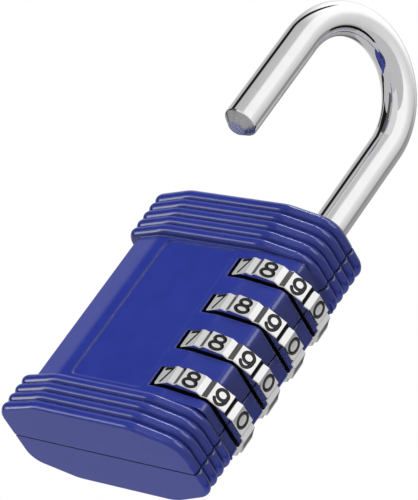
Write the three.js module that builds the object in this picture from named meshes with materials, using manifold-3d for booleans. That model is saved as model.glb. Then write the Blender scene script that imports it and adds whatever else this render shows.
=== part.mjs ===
// A four-dial combination padlock, open: the shackle is raised and swung to the front.
//
// Frame: millimetres, +Z up. The origin is the centre of the body's flat underside, +X points to the
// dials' end of the body and +Y to its back. The dials, the code sleeves inside them and the shackle's
// long leg all turn about one upright axis at x = AXIS_X.

import * as THREE from "three";
import { mergeVertices } from "three/addons/utils/BufferGeometryUtils.js";
import Module from "manifold-3d";

const wasm = await Module();
wasm.setup();

// ---- Driving dimensions -------------------------------------------------------------------------

const BODY_HEIGHT = 49.8;
const AXIS_X = 13.1; // upright axis of the dials and of the shackle's long leg

// Flat ends of the body, which are also the grooves between the ribs.
const END_OUTLINE = { right: 20, left: 20, depth: 8.55, rightCut: [9.25, 2.5], leftCut: [9.25, 2.5] };
// Plain wall between the two groups of ribs; it lies further in at the left-hand end.
const WALL_OUTLINE = { right: 19.65, left: 17.9, depth: 7.75, rightCut: [8.5, 1.5], leftCut: [6.8, 1.8] };

const RIB_PITCH = 1.98;
const BOTTOM_RIBS = 4;
const TOP_RIBS = 5;
const RIB_STAND = 0.55; // how far a rib's crest stands beyond its groove
const RIB_ROUND = 0.6; // height of the rounded part above and below a crest

const PARTING_Y = 0.12; // the front shell ends here, just behind the origin
const PARTING_GAP = 0.12;

const PANEL = { left: -9.1, right: 6.4, bottom: 9, top: 39.2, corner: 1, recess: 0.25 };

const DIAL_COUNT = 4;
const DIAL_PITCH = 8;
const DIAL_THICKNESS = 3.5;
const FIRST_DIAL_Z = 10.1;
const DIAL_FLATS = 10;
const DIAL_FLAT_R = 8.9; // axis to the middle of a flat
const DIAL_FLAT_HALF_ANGLE = THREE.MathUtils.degToRad(11.6);
const DIAL_GROOVE_R = 8.6;
const DIAL_BORE_R = 5.5;
const DIAL_NOTCH_R = 6.35; // ten notches for the sleeve's lug
const DIAL_NOTCH_WIDTH = 1.3;
const DIAL_NOTCH_HEIGHT = 1.9; // upper part of the bore only, so a lowered sleeve lets go
const POCKET_R = 9.4;
const POCKET_GAP = { above: 0.15, below: 0.35 }; // between a dial and the walls of its pocket

const ROD_R = 3; // shackle rod
const BOW_WIDTH = 25.6; // between the axes of the two legs
const BOW_CENTRE_Z = 71.65; // where the straight legs end
const TIP_Z = 51.9; // free leg's shoulder, above its bevelled tip
const TIP_LENGTH = 1.3;
const TIP_R = 1.55;
const SWING = THREE.MathUtils.degToRad(257.8); // direction of the free leg from the long leg; 180 is shut
const LEG_SHOULDER_Z = 41;
const LEG_END_Z = 10.8;
const LEG_CORE_R = 2;

const SLEEVE_R = 5.1;
const SLEEVE_HEIGHT = 7.8;
const FIRST_SLEEVE_Z = 9.2;
const SLEEVE_BORE_R = 3.15;
const SLEEVE_RECESS_R = 4.2; // room in which a fin can turn
const SLEEVE_RECESS_HEIGHT = 2.6;
const GATE_WIDTH = 1.7;
const LUG = { reach: 6.15, width: 1, bottom: 2.75, height: 1.3 };

const FIN = { reach: 4, width: 1.3, height: 1.8, firstZ: 15 };
const TUBE_BORE_R = 2.15;
const TUBE_BOTTOM_Z = 12.3;
const TUBE_TOP_Z = 40.9;

const RING = { bottom: 11, top: 12.1, outer: 2.95 };
const GUIDE = { bottom: 41.2, top: 42.7, outer: 6, bore: 3.15 };
const SPRING = { bottom: 2.1, top: 8.9, coilR: 4.7, wireR: 0.38, turns: 5 };
const WELL = { bottom: 1.7, r: 5.3 }; // holds the spring and the sleeves
const GUIDE_POCKET = { bottom: 41.05, top: 42.9, r: 6.2 };
const LEG_HOLE_R = 3.2;
const SOCKET = { bottom: 41.9, r: 3.25 }; // takes the free leg when the lock is shut

const CAVITY = { left: -15.2, right: 1.8, bottom: 8.5, top: 38.5, halfDepth: 5.6 };
const FINGER_SLOT = { right: 4.4, front: -5.6, back: 1 };
const DETENT = { plateX: 1.1, thickness: 0.4, halfDepth: 5.2, bottom: 8.9, top: 38.1, fingerHeight: 2.4 };

const PIN_R = 1;
const PIN_HALF_LENGTH = 5;
const PIN_CLEARANCE = 0.1;
const PIN_END_CLEARANCE = 0.2;
const PIN_PLACES = [[-14.5, 4.5], [2.5, 4.5], [-5.5, 45.5], [5, 45.5]]; // [x, z]

const FINE = 48; // sides of the largest round shapes
const ROUND = 32;
const SMALL = 16;
const ROD_SIDES = 24;
const ROD_STEPS = 36;

// ---- Materials ----------------------------------------------------------------------------------

const COATED_ZINC = { color: 0x2b3192, roughness: 0.38, metalness: 0.3 };
const CHROME = { color: 0xd9dbde, roughness: 0.08, metalness: 1 };
const BRASS = { color: 0xb99a52, roughness: 0.35, metalness: 1 };
const STEEL = { color: 0x8d9095, roughness: 0.35, metalness: 1 };
const SPRING_STEEL = { color: 0x6e7277, roughness: 0.3, metalness: 1 };

// ---- Solids: joining and cutting ----------------------------------------------------------------

function solid(geometry) {
  const bare = (geometry.index ? geometry.toNonIndexed() : geometry).clone();
  bare.deleteAttribute("normal");
  bare.deleteAttribute("uv");
  const merged = mergeVertices(bare, 1e-4);
  const mesh = new wasm.Mesh({
    numProp: 3,
    vertProperties: new Float32Array(merged.attributes.position.array),
    triVerts: new Uint32Array(merged.index.array),
  });
  return new wasm.Manifold(mesh);
}

function joined(parts) {
  return parts.reduce((whole, part) => whole.add(part));
}

function without(whole, cutters) {
  return cutters.reduce((rest, cutter) => rest.subtract(cutter), whole);
}

function geometryOf(manifold) {
  const { vertProperties, triVerts } = manifold.getMesh();
  const geometry = new THREE.BufferGeometry();
  geometry.setAttribute("position", new THREE.BufferAttribute(new Float32Array(vertProperties), 3));
  geometry.setIndex(new THREE.BufferAttribute(new Uint32Array(triVerts), 1));
  geometry.computeVertexNormals();
  return geometry;
}

function part(name, manifold, look) {
  const mesh = new THREE.Mesh(geometryOf(manifold), new THREE.MeshStandardMaterial(look));
  mesh.name = name;
  return mesh;
}

// ---- Basic shapes -------------------------------------------------------------------------------

// Upright prism of an outline given as [x, y] points, between two heights.
function prism(points, bottom, top, bevel = null) {
  const shape = new THREE.Shape(points.map(([x, y]) => new THREE.Vector2(x, y)));
  const rounded = bevel
    ? { bevelEnabled: true, bevelSize: bevel.out, bevelThickness: bevel.rise, bevelSegments: bevel.steps }
    : { bevelEnabled: false };
  const rise = bevel ? bevel.rise : 0;
  const depth = top - bottom - 2 * rise;
  const geometry = new THREE.ExtrudeGeometry(shape, { depth, steps: 1, ...rounded });
  return solid(geometry.translate(0, 0, bottom + rise));
}

function cylinder(r, bottom, top, x = AXIS_X, sides = ROUND, topR = r) {
  const geometry = new THREE.CylinderGeometry(topR, r, top - bottom, sides);
  geometry.rotateX(Math.PI / 2);
  return solid(geometry.translate(x, 0, (bottom + top) / 2));
}

function ring(outer, inner, bottom, top, x = AXIS_X, sides = ROUND) {
  return cylinder(outer, bottom, top, x, sides).subtract(cylinder(inner, bottom - 1, top + 1, x, sides));
}

function box([x0, y0, z0], [x1, y1, z1]) {
  const geometry = new THREE.BoxGeometry(x1 - x0, y1 - y0, z1 - z0);
  return solid(geometry.translate((x0 + x1) / 2, (y0 + y1) / 2, (z0 + z1) / 2));
}

// Cylinder along Y, for the pins and their bores.
function crossPin(r, halfLength, x, z) {
  const geometry = new THREE.CylinderGeometry(r, r, 2 * halfLength, SMALL);
  return solid(geometry.translate(x, 0, z));
}

// ---- Body ---------------------------------------------------------------------------------------

// Eight-sided outline of the body, seen from above.
function bodyOutline({ right, left, depth, rightCut, leftCut }) {
  const frontHalf = [
    [-left, leftCut[1] - depth],
    [leftCut[0] - left, -depth],
    [right - rightCut[0], -depth],
    [right, rightCut[1] - depth],
  ];
  const backHalf = frontHalf.map(([x, y]) => [x, -y]).reverse();
  return [...frontHalf, ...backHalf];
}

function ribs(count, bottom) {
  const outline = bodyOutline(END_OUTLINE);
  const round = { out: RIB_STAND, rise: RIB_ROUND, steps: 2 };
  const slabs = [];
  for (let i = 0; i < count; i += 1) {
    slabs.push(prism(outline, bottom + i * RIB_PITCH, bottom + (i + 1) * RIB_PITCH, round));
  }
  return joined(slabs);
}

function panelCutter(side) {
  const { left, right, bottom, top, corner, recess } = PANEL;
  const shape = new THREE.Shape();
  shape.moveTo(left + corner, bottom);
  shape.lineTo(right - corner, bottom);
  shape.absarc(right - corner, bottom + corner, corner, -Math.PI / 2, 0);
  shape.absarc(right - corner, top - corner, corner, 0, Math.PI / 2);
  shape.absarc(left + corner, top - corner, corner, Math.PI / 2, Math.PI);
  shape.absarc(left + corner, bottom + corner, corner, Math.PI, 1.5 * Math.PI);
  const geometry = new THREE.ExtrudeGeometry(shape, { depth: 2, bevelEnabled: false, curveSegments: 5 });
  geometry.rotateX(Math.PI / 2);
  const floor = WALL_OUTLINE.depth - recess;
  return solid(geometry.translate(0, side < 0 ? -floor : floor + 2, 0));
}

function dialPocket(i) {
  const floor = FIRST_DIAL_Z + i * DIAL_PITCH;
  const ceiling = floor + DIAL_THICKNESS;
  return cylinder(POCKET_R, floor - POCKET_GAP.below, ceiling + POCKET_GAP.above, AXIS_X, FINE);
}

function bodySolid() {
  const ribbedTop = BODY_HEIGHT - TOP_RIBS * RIB_PITCH;
  const outer = joined([
    prism(bodyOutline(WALL_OUTLINE), RIB_PITCH / 2, BODY_HEIGHT - RIB_PITCH / 2),
    ribs(BOTTOM_RIBS, 0),
    ribs(TOP_RIBS, ribbedTop),
  ]);
  const { left, right, bottom, top, halfDepth } = CAVITY;
  const cutters = [
    panelCutter(-1),
    panelCutter(1),
    cylinder(WELL.r, WELL.bottom, GUIDE_POCKET.bottom + 0.5),
    cylinder(GUIDE_POCKET.r, GUIDE_POCKET.bottom, GUIDE_POCKET.top),
    cylinder(LEG_HOLE_R, GUIDE_POCKET.top - 0.5, BODY_HEIGHT + 1),
    cylinder(SOCKET.r, SOCKET.bottom, BODY_HEIGHT + 1, AXIS_X - BOW_WIDTH),
    box([left, -halfDepth, bottom], [right, halfDepth, top]),
    box([right - 0.1, FINGER_SLOT.front, bottom], [FINGER_SLOT.right, FINGER_SLOT.back, top]),
  ];
  for (let i = 0; i < DIAL_COUNT; i += 1) {
    cutters.push(dialPocket(i));
  }
  for (const [x, z] of PIN_PLACES) {
    cutters.push(crossPin(PIN_R + PIN_CLEARANCE, PIN_HALF_LENGTH + PIN_END_CLEARANCE, x, z));
  }
  return without(outer, cutters);
}

function shells() {
  const body = bodySolid();
  const far = 60;
  const frontSide = box([-far, -far, -far], [far, PARTING_Y, 2 * far]);
  const backSide = box([-far, PARTING_Y + PARTING_GAP, -far], [far, far, 2 * far]);
  return [
    part("front_shell", body.intersect(frontSide), COATED_ZINC),
    part("back_shell", body.intersect(backSide), COATED_ZINC),
  ];
}

function assemblyPins() {
  return PIN_PLACES.map(([x, z], i) => {
    const pin = crossPin(PIN_R, PIN_HALF_LENGTH, x, z);
    return part(`assembly_pin_${i + 1}`, pin, STEEL);
  });
}

// ---- Dials and code sleeves ---------------------------------------------------------------------

// Point at radius r and at an angle counted from -Y towards +X, about the dials' axis.
function aroundAxis(r, angle) {
  return [AXIS_X + r * Math.sin(angle), -r * Math.cos(angle)];
}

// Ten flats with a groove between them; one flat faces +X, where the code is read.
function dialOutline() {
  const step = (2 * Math.PI) / DIAL_FLATS;
  const cornerR = DIAL_FLAT_R / Math.cos(DIAL_FLAT_HALF_ANGLE);
  const points = [];
  for (let k = 0; k < DIAL_FLATS; k += 1) {
    const middle = Math.PI / 2 + k * step;
    points.push(aroundAxis(cornerR, middle - DIAL_FLAT_HALF_ANGLE));
    points.push(aroundAxis(cornerR, middle + DIAL_FLAT_HALF_ANGLE));
    points.push(aroundAxis(DIAL_GROOVE_R, middle + step / 2));
  }
  return points;
}

// A bar from the axis outwards to reach, turned by an angle from the -X direction.
function spoke(reach, width, bottom, top, turn = 0) {
  const geometry = new THREE.BoxGeometry(reach, width, top - bottom);
  geometry.translate(-reach / 2, 0, (bottom + top) / 2).rotateZ(turn);
  return solid(geometry.translate(AXIS_X, 0, 0));
}

function dial(i) {
  const bottom = FIRST_DIAL_Z + i * DIAL_PITCH;
  const top = bottom + DIAL_THICKNESS;
  const notchBottom = top - DIAL_NOTCH_HEIGHT;
  const cutters = [
    cylinder(DIAL_BORE_R, bottom - 1, top + 1),
    cylinder(DIAL_NOTCH_R, bottom - 1, notchBottom),
  ];
  for (let k = 0; k < DIAL_FLATS; k += 1) {
    const turn = (k * 2 * Math.PI) / DIAL_FLATS;
    cutters.push(spoke(DIAL_NOTCH_R, DIAL_NOTCH_WIDTH, notchBottom - 0.5, top + 1, turn));
  }
  return part(`dial_${i + 1}`, without(prism(dialOutline(), bottom, top), cutters), CHROME);
}

function sleeve(i) {
  const bottom = FIRST_SLEEVE_Z + i * DIAL_PITCH;
  const top = bottom + SLEEVE_HEIGHT;
  const tube = cylinder(SLEEVE_R, bottom, top);
  const lug = spoke(LUG.reach, LUG.width, bottom + LUG.bottom, bottom + LUG.bottom + LUG.height);
  const cutters = [
    cylinder(SLEEVE_BORE_R, bottom - 1, top + 1),
    cylinder(SLEEVE_RECESS_R, top - SLEEVE_RECESS_HEIGHT, top + 1),
    spoke(SLEEVE_RECESS_R, GATE_WIDTH, bottom - 1, top),
  ];
  return part(`sleeve_${i + 1}`, without(tube.add(lug), cutters), BRASS);
}

// ---- Shackle and what rides on its long leg -----------------------------------------------------

// Centre line of the rod in its own XZ plane: up the long leg, half a turn over, down the free leg.
class RodLine extends THREE.Curve {
  constructor() {
    super();
    this.up = BOW_CENTRE_Z - LEG_SHOULDER_Z;
    this.bend = (Math.PI * BOW_WIDTH) / 2;
    this.down = BOW_CENTRE_Z - TIP_Z;
  }

  getPoint(t, target = new THREE.Vector3()) {
    const s = t * (this.up + this.bend + this.down);
    let out = 0;
    let z = LEG_SHOULDER_Z + s;
    if (s > this.up + this.bend) {
      out = BOW_WIDTH;
      z = BOW_CENTRE_Z - (s - this.up - this.bend);
    } else if (s > this.up) {
      const angle = (s - this.up) / (BOW_WIDTH / 2);
      out = (BOW_WIDTH / 2) * (1 - Math.cos(angle));
      z = BOW_CENTRE_Z + (BOW_WIDTH / 2) * Math.sin(angle);
    }
    return target.set(out, 0, z);
  }
}

function circle(r, sides) {
  const shape = new THREE.Shape();
  for (let k = 0; k < sides; k += 1) {
    const angle = (2 * Math.PI * k) / sides;
    const point = [r * Math.cos(angle), r * Math.sin(angle)];
    if (k === 0) {
      shape.moveTo(...point);
    } else {
      shape.lineTo(...point);
    }
  }
  return shape;
}

// Made in the plane y = 0 with the long leg on the Z axis, then turned to its swing and set on its axis.
function shackle() {
  const sweep = { steps: ROD_STEPS, extrudePath: new RodLine() };
  const rod = new THREE.ExtrudeGeometry(circle(ROD_R, ROD_SIDES), sweep);
  const core = cylinder(LEG_CORE_R, LEG_END_Z, LEG_SHOULDER_Z + 1, 0, SMALL);
  const tip = cylinder(TIP_R, TIP_Z - TIP_LENGTH, TIP_Z, BOW_WIDTH, ROD_SIDES, ROD_R);
  const mesh = part("shackle", joined([solid(rod), core, tip]), CHROME);
  mesh.rotation.z = SWING;
  mesh.position.x = AXIS_X;
  return mesh;
}

function lockingTube() {
  const fins = [];
  for (let i = 0; i < DIAL_COUNT; i += 1) {
    const bottom = FIN.firstZ + i * DIAL_PITCH;
    fins.push(spoke(FIN.reach, FIN.width, bottom, bottom + FIN.height));
  }
  const whole = joined([cylinder(ROD_R, TUBE_BOTTOM_Z, TUBE_TOP_Z), ...fins]);
  const bore = cylinder(TUBE_BORE_R, TUBE_BOTTOM_Z - 1, TUBE_TOP_Z + 1);
  return part("locking_tube", whole.subtract(bore), STEEL);
}

function legRing() {
  return part("leg_ring", ring(RING.outer, TUBE_BORE_R, RING.bottom, RING.top), SPRING_STEEL);
}

function guidePlate() {
  return part("guide_plate", ring(GUIDE.outer, GUIDE.bore, GUIDE.bottom, GUIDE.top), STEEL);
}

// ---- Springs ------------------------------------------------------------------------------------

class CoilLine extends THREE.Curve {
  getPoint(t, target = new THREE.Vector3()) {
    const angle = 2 * Math.PI * SPRING.turns * t;
    const low = SPRING.bottom + SPRING.wireR;
    const high = SPRING.top - SPRING.wireR;
    return target.set(
      AXIS_X + SPRING.coilR * Math.cos(angle),
      SPRING.coilR * Math.sin(angle),
      low + (high - low) * t,
    );
  }
}

function sleeveSpring() {
  const steps = SPRING.turns * 16;
  const coil = new THREE.ExtrudeGeometry(circle(SPRING.wireR, 6), { steps, extrudePath: new CoilLine() });
  return part("sleeve_spring", solid(coil), SPRING_STEEL);
}

// One bent finger: it rises from the plate to a nose that faces a dial's groove, then folds back.
function detentFinger(i) {
  const { plateX, thickness, fingerHeight } = DETENT;
  const [noseX, noseY] = aroundAxis(DIAL_FLAT_R + 0.4, THREE.MathUtils.degToRad(-72));
  const points = [
    [plateX + thickness / 2, noseY - 2.4],
    [plateX + thickness / 2 + 0.6, noseY - 2.4],
    [noseX, noseY - 0.3],
    [noseX, noseY + 0.3],
    [plateX + 1.7, noseY + 1.6],
    [plateX + 1.4, noseY + 1.3],
    [noseX - 0.6, noseY],
  ];
  const middle = FIRST_DIAL_Z + DIAL_THICKNESS / 2 + i * DIAL_PITCH;
  return prism(points, middle - fingerHeight / 2, middle + fingerHeight / 2);
}

function detentSpring() {
  const { plateX, thickness, halfDepth, bottom, top } = DETENT;
  const pieces = [box([plateX, -halfDepth, bottom], [plateX + thickness, halfDepth, top])];
  for (let i = 0; i < DIAL_COUNT; i += 1) {
    pieces.push(detentFinger(i));
  }
  return part("detent_spring", joined(pieces), SPRING_STEEL);
}

// ---- Assembly -----------------------------------------------------------------------------------

const padlock = new THREE.Group();
padlock.add(...shells(), ...assemblyPins());
for (let i = 0; i < DIAL_COUNT; i += 1) {
  padlock.add(dial(i), sleeve(i));
}
padlock.add(shackle(), lockingTube(), legRing(), guidePlate(), sleeveSpring(), detentSpring());

export default padlock;
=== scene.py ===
# %% [markdown]
# # A four-dial combination padlock
# This lesson dresses a finished mechanical model of a padlock. The mechanical model is the fixed frame: it
# says where each part is and how it moves. Everything made below is a better-looking surface for one of its
# parts, in metres and in the same place.

# %% Load the frame
import math

import bmesh
import bpy
from mathutils import Matrix, Vector


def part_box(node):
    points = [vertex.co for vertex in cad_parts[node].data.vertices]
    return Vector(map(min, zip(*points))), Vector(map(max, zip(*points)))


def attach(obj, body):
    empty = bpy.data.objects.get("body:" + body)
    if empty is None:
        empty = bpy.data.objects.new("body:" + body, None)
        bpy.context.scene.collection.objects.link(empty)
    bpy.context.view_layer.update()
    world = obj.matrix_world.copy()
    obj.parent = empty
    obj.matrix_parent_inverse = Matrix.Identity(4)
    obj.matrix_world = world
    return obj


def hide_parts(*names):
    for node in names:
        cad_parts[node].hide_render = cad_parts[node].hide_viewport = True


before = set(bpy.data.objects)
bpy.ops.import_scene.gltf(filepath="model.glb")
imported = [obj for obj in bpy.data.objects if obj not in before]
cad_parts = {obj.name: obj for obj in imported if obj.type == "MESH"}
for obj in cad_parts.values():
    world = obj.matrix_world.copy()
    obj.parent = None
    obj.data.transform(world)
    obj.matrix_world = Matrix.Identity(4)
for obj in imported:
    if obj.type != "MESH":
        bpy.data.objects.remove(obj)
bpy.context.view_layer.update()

# %% [markdown]
# ## The camera
# A product picture of a small lock is taken with a long lens, so that the sides stay nearly parallel. The
# camera stands low, in front of the dials' end and below the lock, and it is rolled so that the shackle
# points to the upper right. A camera could be aimed with a constraint, but a place, an aim and a roll are
# easier to read back.

# %% Camera
EYE = Vector((0.32399, -0.30426, -0.18893))
VIEW_DIRECTION = Vector((-0.65439, 0.6001, 0.46006))
ROLL = math.radians(35.80)
FOCAL_LENGTH = 215.05

camera = bpy.data.objects.new("camera", bpy.data.cameras.new("camera"))
camera.data.lens = FOCAL_LENGTH
camera.data.clip_start = 0.01
camera.location = EYE
camera.rotation_mode = "QUATERNION"
level = VIEW_DIRECTION.to_track_quat("-Z", "Y")
camera.rotation_quaternion = (level.to_matrix() @ Matrix.Rotation(ROLL, 3, "Z")).to_quaternion()
bpy.context.collection.objects.link(camera)
bpy.context.scene.camera = camera
bpy.context.scene.view_settings.view_transform = "Standard"
print("camera stands", round(EYE.length, 3), "m from the lock")

# %% [markdown]
# ## Sizes read from the frame
# What has to meet another part isn't placed by eye: the dials' axis, the height of each dial and the ends of
# the body come from the boxes of the frame's nodes. From here on shapes are drawn in millimetres, because
# that is how a lock is drawn, and one helper turns them into metres when the mesh is made.

# %% Sizes
MM = 0.001
DIALS = 4


def node_box(name):
    low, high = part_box(name)
    return Vector(low) / MM, Vector(high) / MM


guide_low, guide_high = node_box("guide_plate")
AXIS_X = (guide_low.x + guide_high.x) / 2
case_low, case_high = node_box("front_shell")
BODY_TOP = case_high.z
PARTING = (case_high.y + node_box("back_shell")[0].y) / 2
dial_floors = [node_box(f"dial_{i + 1}")[0].z for i in range(DIALS)]
DIAL_THICKNESS = node_box("dial_1")[1].z - dial_floors[0]
print("axis at x =", round(AXIS_X, 2), "mm; parting at y =", round(PARTING, 2), "mm")


# %% [markdown]
# ## Helpers for making solids
# Most of a lock is either turned, cast or cut. A cast body can be drawn as a stack of level outlines joined
# by faces, which keeps its long flats flat and puts many points only where it is round. Holes and slots are
# cut afterwards with the Boolean modifier, as they are cut by the die or a drill, and the new edges are
# rounded a little, because no real edge is perfectly sharp.

# %% Mesh helpers
def new_piece(name, vertices, faces, materials=()):
    """An object from points in millimetres."""
    mesh = bpy.data.meshes.new(name)
    mesh.from_pydata([Vector(v) * MM for v in vertices], [], faces)
    for material in materials:
        mesh.materials.append(material)
    mesh.validate()
    piece = bpy.data.objects.new(name, mesh)
    bpy.context.collection.objects.link(piece)
    return piece


def stack(name, levels, materials=()):
    """A closed solid through level outlines that have the same number of points, lowest first."""
    count = len(levels[0])
    vertices = [point for outline in levels for point in outline]
    faces = [list(range(count))[::-1]]
    for row in range(len(levels) - 1):
        for k in range(count):
            a, b = row * count + k, row * count + (k + 1) % count
            faces.append([a, b, b + count, a + count])
    faces.append([(len(levels) - 1) * count + k for k in range(count)])
    return new_piece(name, vertices, faces, materials)


def joined(name, pieces):
    """One object that holds the meshes of several."""
    whole = bmesh.new()
    for piece in pieces:
        whole.from_mesh(piece.data)
    mesh = bpy.data.meshes.new(name)
    whole.to_mesh(mesh)
    whole.free()
    for material in pieces[0].data.materials:
        mesh.materials.append(material)
    for piece in pieces:
        bpy.data.objects.remove(piece)
    result = bpy.data.objects.new(name, mesh)
    bpy.context.collection.objects.link(result)
    return result


def bake_modifiers(piece):
    bpy.context.view_layer.update()
    view = bpy.context.evaluated_depsgraph_get()
    mesh = bpy.data.meshes.new_from_object(piece.evaluated_get(view), depsgraph=view)
    piece.modifiers.clear()
    piece.data = mesh


def cut(piece, cutter, overlapping=False):
    """Takes the cutter's volume out of a piece; the new faces keep the cutter's material."""
    step = piece.modifiers.new("cut", "BOOLEAN")
    step.operation = "DIFFERENCE"
    step.solver = "EXACT"
    step.use_self = overlapping
    step.material_mode = "TRANSFER"
    step.object = cutter
    bake_modifiers(piece)
    bpy.data.objects.remove(cutter)


def finish_shading(piece, sharp_degrees=32):
    """Smooth where the surface is round, flat where it is flat."""
    piece.data.shade_smooth()
    piece.data.set_sharp_from_angle(angle=math.radians(sharp_degrees))
    weigh = piece.modifiers.new("weighted_normals", "WEIGHTED_NORMAL")
    weigh.keep_sharp = True
    bake_modifiers(piece)


def circle(r, z, sides, x=0.0, y=0.0):
    turn = 2 * math.pi / sides
    return [(x + r * math.cos(k * turn), y + r * math.sin(k * turn), z) for k in range(sides)]


def turned(name, profile, sides=96, x=0.0, y=0.0, materials=()):
    """A turned solid: profile is a list of (radius, height), lowest first."""
    return stack(name, [circle(r, z, sides, x, y) for r, z in profile], materials)


def block(name, low, high, materials=()):
    (x0, y0, z0), (x1, y1, z1) = low, high
    outline = [(x0, y0), (x1, y0), (x1, y1), (x0, y1)]
    return stack(name, [[(x, y, z) for x, y in outline] for z in (z0, z1)], materials)


print("helpers for pieces, stacks, cuts and shading are ready")

# %% [markdown]
# ## Finishes
# Each finish is a small node tree on one shader. The tree varies roughness, colour and height by noise at
# the size the real finish has: a baked coat has a faint orange peel, polished chrome has hair-fine marks,
# and turned brass has rings. Values that are the same all over are typed straight on the shader.

# %% Material helpers
def principled(name, **values):
    material = bpy.data.materials.new(name)
    material.use_nodes = True
    shader = material.node_tree.nodes["Principled BSDF"]
    for socket, value in values.items():
        shader.inputs[socket.replace("_", " ")].default_value = value
    return material, material.node_tree, shader


def place_in_millimetres(tree, stretch=(1, 1, 1)):
    where = tree.nodes.new("ShaderNodeTexCoord")
    scaled = tree.nodes.new("ShaderNodeMapping")
    scaled.inputs["Scale"].default_value = [s / MM for s in stretch]
    tree.links.new(where.outputs["Object"], scaled.inputs["Vector"])
    return scaled.outputs["Vector"]


def noise(tree, where, per_mm, detail=3.0):
    node = tree.nodes.new("ShaderNodeTexNoise")
    node.inputs["Scale"].default_value = per_mm
    node.inputs["Detail"].default_value = detail
    tree.links.new(where, node.inputs["Vector"])
    return node.outputs["Fac"]


def remap(tree, source, low, high, start=0.3, end=0.7):
    node = tree.nodes.new("ShaderNodeMapRange")
    for name, value in (("From Min", start), ("From Max", end), ("To Min", low), ("To Max", high)):
        node.inputs[name].default_value = value
    tree.links.new(source, node.inputs["Value"])
    return node.outputs["Result"]


def two_tones(tree, source, first, second, start=0.3, end=0.7):
    node = tree.nodes.new("ShaderNodeValToRGB")
    node.color_ramp.elements[0].position = start
    node.color_ramp.elements[0].color = (*first, 1)
    node.color_ramp.elements[1].position = end
    node.color_ramp.elements[1].color = (*second, 1)
    tree.links.new(source, node.inputs["Fac"])
    return node.outputs["Color"]


def bump(tree, shader, source, strength, height_mm):
    node = tree.nodes.new("ShaderNodeBump")
    node.inputs["Strength"].default_value = strength
    node.inputs["Distance"].default_value = height_mm * MM
    tree.links.new(source, node.inputs["Height"])
    tree.links.new(node.outputs["Normal"], shader.inputs["Normal"])
    return node


def calculate(tree, operation, *values):
    """A sum done by the shader on numbers or on outputs of other nodes."""
    node = tree.nodes.new("ShaderNodeMath")
    node.operation = operation
    for socket, value in zip(node.inputs, values):
        if isinstance(value, (int, float)):
            socket.default_value = value
        else:
            tree.links.new(value, socket)
    return node.outputs["Value"]


print("helpers for noise, tones, roughness and relief are ready")

# %% [markdown]
# ### Baked blue coat
# The body is cast zinc with a thin baked coat. It is a dielectric film over a strong blue, so it reflects
# white, not blue, and more so at a glancing angle. A painted look could be made from one colour, but the
# faint unevenness of the film is what makes its reflections believable. Wet coat draws back from a sharp
# edge and rounds it. That could be cut into the mesh at every edge, but here the shader rounds the edges,
# more on the wall, where the slots and the panel have sharp ones, than on the ribs.

# %% Blue coat
BLUE = (0.0135, 0.0215, 0.148)
BLUE_DEEP = (0.0115, 0.0185, 0.136)
WALL_MIDDLE_Z = 24.1
WALL_REACH = 15.5  # up to this far from the middle, edges get the wall's radius
EDGE_FLOW_RIBS, EDGE_FLOW_WALL = 0.15, 0.5  # radius of the coat on a sharp edge

coat, tree, shader = principled("blue_coat", IOR=1.44)
where = place_in_millimetres(tree)
tree.links.new(two_tones(tree, noise(tree, where, 0.25), BLUE_DEEP, BLUE), shader.inputs["Base Color"])
tree.links.new(remap(tree, noise(tree, where, 0.9), 0.10, 0.15), shader.inputs["Roughness"])
film = bump(tree, shader, noise(tree, where, 2.2, 1.0), 0.12, 0.01)

parts = tree.nodes.new("ShaderNodeSeparateXYZ")
tree.links.new(where, parts.inputs["Vector"])
from_middle = calculate(tree, "SUBTRACT", parts.outputs["Z"], WALL_MIDDLE_Z)
reach = calculate(tree, "ABSOLUTE", from_middle)
flow = remap(tree, reach, EDGE_FLOW_RIBS * MM, EDGE_FLOW_WALL * MM, WALL_REACH + 0.5, WALL_REACH)
flowed = tree.nodes.new("ShaderNodeBevel")
flowed.samples = 6
tree.links.new(flow, flowed.inputs["Radius"])
tree.links.new(flowed.outputs["Normal"], film.inputs["Normal"])
print(coat.name, "flows over edges by", EDGE_FLOW_RIBS, "to", EDGE_FLOW_WALL, "mm")

# %% [markdown]
# ### Painted shade inside the casting
# The blue coat is kept to the outer part of the slots. In the bores, deep in the slots and on the faces where
# the two halves meet, a near-black dull material paints the shade that falls there. It could be left out of
# sight, but the thin dark joint line all round the body comes from this painted shade.

# %% Painted shade inside
painted_shade_inside, tree, shader = principled("painted_shade_casting", IOR=1.2)
where = place_in_millimetres(tree)
# near-black base colours: painted shade for the bores, the deep slots and the gap between the halves
shade_grey, deep_shade_grey = (0.012, 0.012, 0.016), (0.005, 0.005, 0.007)
tree.links.new(two_tones(tree, noise(tree, where, 1.5), deep_shade_grey, shade_grey), shader.inputs["Base Color"])
tree.links.new(remap(tree, noise(tree, where, 3.0), 0.55, 0.75), shader.inputs["Roughness"])
bump(tree, shader, noise(tree, where, 5.0), 0.4, 0.02)
print(painted_shade_inside.name, "is made")


# %% [markdown]
# ### Chrome
# Chrome has no colour of its own worth speaking of: it is a mirror with hair-fine polishing marks. The marks
# could be the same for both parts, but they run along the rod and round the dials, so the noise is stretched
# in one direction for each.

# %% Chrome
def chrome(name, tone, stretch, smooth, rubbed):
    material, tree, shader = principled(name, Metallic=1.0)
    where = place_in_millimetres(tree)
    marks = noise(tree, place_in_millimetres(tree, stretch), 6.0, 4.0)
    bright = tuple(min(1.0, 1.04 * c) for c in tone)
    tree.links.new(two_tones(tree, noise(tree, where, 0.4), tone, bright), shader.inputs["Base Color"])
    tree.links.new(remap(tree, marks, smooth, rubbed), shader.inputs["Roughness"])
    bump(tree, shader, marks, 0.04, 0.001)
    return material


rod_chrome = chrome("rod_chrome", (0.93, 0.93, 0.94), (1, 1, 0.08), 0.02, 0.05)
dial_chrome = chrome("dial_chrome", (0.91, 0.91, 0.91), (0.25, 0.25, 2.0), 0.03, 0.07)
print(rod_chrome.name, "and", dial_chrome.name, "are made")

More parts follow.
